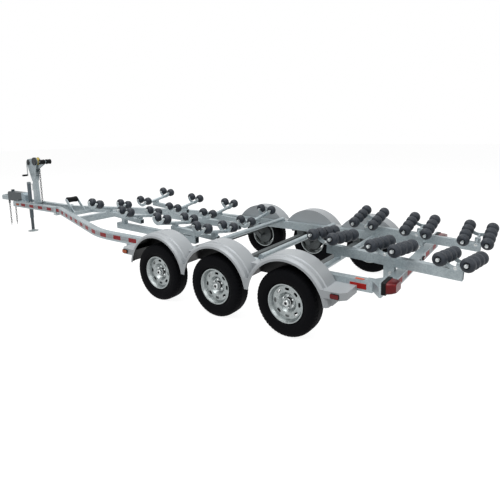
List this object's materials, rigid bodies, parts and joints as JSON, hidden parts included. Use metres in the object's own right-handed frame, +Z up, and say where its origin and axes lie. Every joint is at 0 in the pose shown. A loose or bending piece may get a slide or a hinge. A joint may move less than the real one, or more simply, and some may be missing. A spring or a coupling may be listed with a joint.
{
  "type": "boat trailer",
  "caption": "Galvanised roller boat trailer with bent main rails, tandem wheels under humped fenders, tilting hull rollers, a braked coupler, a jack and a bow winch on a post.",
  "frame": {"origin": "on the ground, under the middle of the bounding box", "axes": "X to the trailer's right, Y forward to the coupler, Z up"},
  "size_m": [2.62, 10.3509, 1.644],
  "materials": {
    "galvanised": "hot-dip galvanised",
    "zinc": "zinc plated",
    "axle": "hot-dip galvanised, weathered",
    "rim": "galvanised",
    "fender": "satin silver",
    "drum": "dark cast",
    "tyre": "moulded",
    "roller": "moulded",
    "amber": "lens",
    "red": "lens"
  },
  "bodies": {
    "frame": {"amber_side_lamps": "amber", "axle_1": "axle", "axle_2": "axle", "axle_3": "axle", "bow_guide_arms": "galvanised", "bow_rollers": "roller", "brake_actuator": "zinc", "bunk_posts": "galvanised", "carrier_beams": "galvanised", "chains": "zinc", "coupler": "zinc", "cradle_frames": "galvanised", "cradle_lugs": "galvanised", "cross_pipes": "galvanised", "fender_left": "fender", "fender_right": "fender", "front_cross_tube": "galvanised", "front_roller_arms": "galvanised", "front_rollers": "roller", "jack_crank": "zinc", "jack_tube": "galvanised", "keel_roller": "roller", "middle_cross_tube": "galvanised", "pivot_blocks": "galvanised", "rail_left": "galvanised", "rail_right": "galvanised", "rear_bunks": "galvanised", "rear_cross_tube": "galvanised", "rear_rollers": "roller", "red_lenses": "red", "tail_lamps": "red", "tongue_clamps": "galvanised", "walking_tubes": "galvanised", "winch_drum": "zinc", "winch_head": "zinc", "winch_post": "galvanised"},
    "wheel_l1": {"tyre_l1": "tyre", "rim_l1": "rim", "drum_l1": "drum"},
    "wheel_l2": {"tyre_l2": "tyre", "rim_l2": "rim", "drum_l2": "drum"},
    "wheel_l3": {"tyre_l3": "tyre", "rim_l3": "rim", "drum_l3": "drum"},
    "wheel_r1": {"tyre_r1": "tyre", "rim_r1": "rim", "drum_r1": "drum"},
    "wheel_r2": {"tyre_r2": "tyre", "rim_r2": "rim", "drum_r2": "drum"},
    "wheel_r3": {"tyre_r3": "tyre", "rim_r3": "rim", "drum_r3": "drum"},
    "jack_leg": {"jack_leg": "galvanised"},
    "winch_crank": {"winch_crank": "zinc"}
  },
  "joints": [
    {"name": "wheel_l1_spin", "type": "hinge", "parent": "frame", "child": "wheel_l1", "pos_m": [-1.17, -1.53954, 0.36], "axis": [1, 0, 0], "continuous": true},
    {"name": "wheel_l2_spin", "type": "hinge", "parent": "frame", "child": "wheel_l2", "pos_m": [-1.17, -2.48454, 0.36], "axis": [1, 0, 0], "continuous": true},
    {"name": "wheel_l3_spin", "type": "hinge", "parent": "frame", "child": "wheel_l3", "pos_m": [-1.17, -3.42954, 0.36], "axis": [1, 0, 0], "continuous": true},
    {"name": "wheel_r1_spin", "type": "hinge", "parent": "frame", "child": "wheel_r1", "pos_m": [1.17, -1.53954, 0.36], "axis": [1, 0, 0], "continuous": true},
    {"name": "wheel_r2_spin", "type": "hinge", "parent": "frame", "child": "wheel_r2", "pos_m": [1.17, -2.48454, 0.36], "axis": [1, 0, 0], "continuous": true},
    {"name": "wheel_r3_spin", "type": "hinge", "parent": "frame", "child": "wheel_r3", "pos_m": [1.17, -3.42954, 0.36], "axis": [1, 0, 0], "continuous": true},
    {"name": "jack_lift", "type": "slide", "parent": "frame", "child": "jack_leg", "axis": [0, 0, 1], "range_m": [0, 0.25]},
    {"name": "winch_crank_turn", "type": "hinge", "parent": "frame", "child": "winch_crank", "pos_m": [-0.08, 3.81546, 1.53], "axis": [1, 0, 0], "continuous": true}
  ]
}
